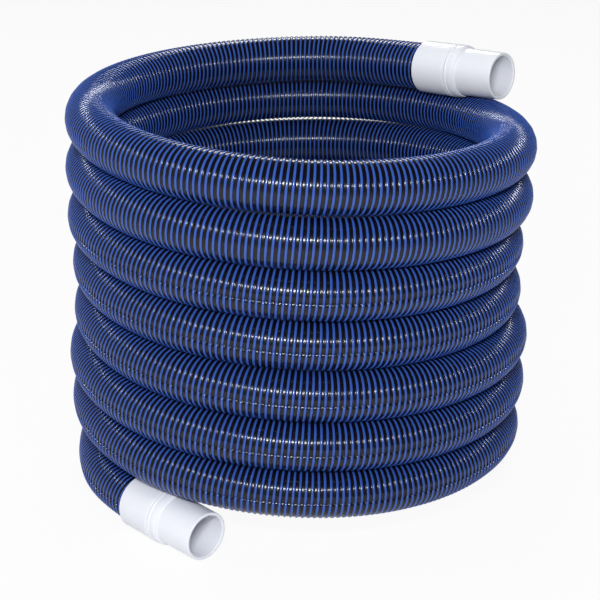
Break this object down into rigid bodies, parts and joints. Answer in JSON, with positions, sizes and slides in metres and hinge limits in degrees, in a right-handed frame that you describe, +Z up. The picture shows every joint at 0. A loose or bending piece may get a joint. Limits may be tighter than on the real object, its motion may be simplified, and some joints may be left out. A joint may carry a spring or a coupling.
{
  "type": "pool vacuum hose",
  "caption": "Coiled spiral-wound pool vacuum hose with blue ribs, black walls and a white swivel cuff on each end.",
  "frame": {"origin": "on the floor, under the middle of the bounding box", "axes": "+Z up through the coil, -Y towards the front, with the lower cuff at front left and the upper cuff at back right"},
  "size_m": [0.4342, 0.434, 0.3951],
  "materials": {
    "black_strip": "gloss",
    "blue_strip": "satin",
    "white_cuff": "semi-gloss",
    "ring_plastic": "natural",
    "seal_rubber": "matte"
  },
  "bodies": {
    "hose": {"hose_wall_strip": "black_strip", "hose_rib_strip": "blue_strip", "upper_sleeve": "white_cuff", "upper_seal": "seal_rubber", "lower_sleeve": "white_cuff", "lower_seal": "seal_rubber"},
    "upper_swivel": {"upper_nozzle": "white_cuff", "upper_snap_ring": "ring_plastic"},
    "lower_swivel": {"lower_nozzle": "white_cuff", "lower_snap_ring": "ring_plastic"}
  },
  "joints": [
    {"name": "upper_turn", "type": "hinge", "parent": "hose", "child": "upper_swivel", "pos_m": [0.14935, 0.09408, 0.36992], "axis": [0.75, -0.6589, 0.0576], "continuous": true},
    {"name": "lower_turn", "type": "hinge", "parent": "hose", "child": "lower_swivel", "pos_m": [-0.11252, -0.16333, 0.02515], "axis": [0.7193, -0.6947, 0], "continuous": true}
  ]
}
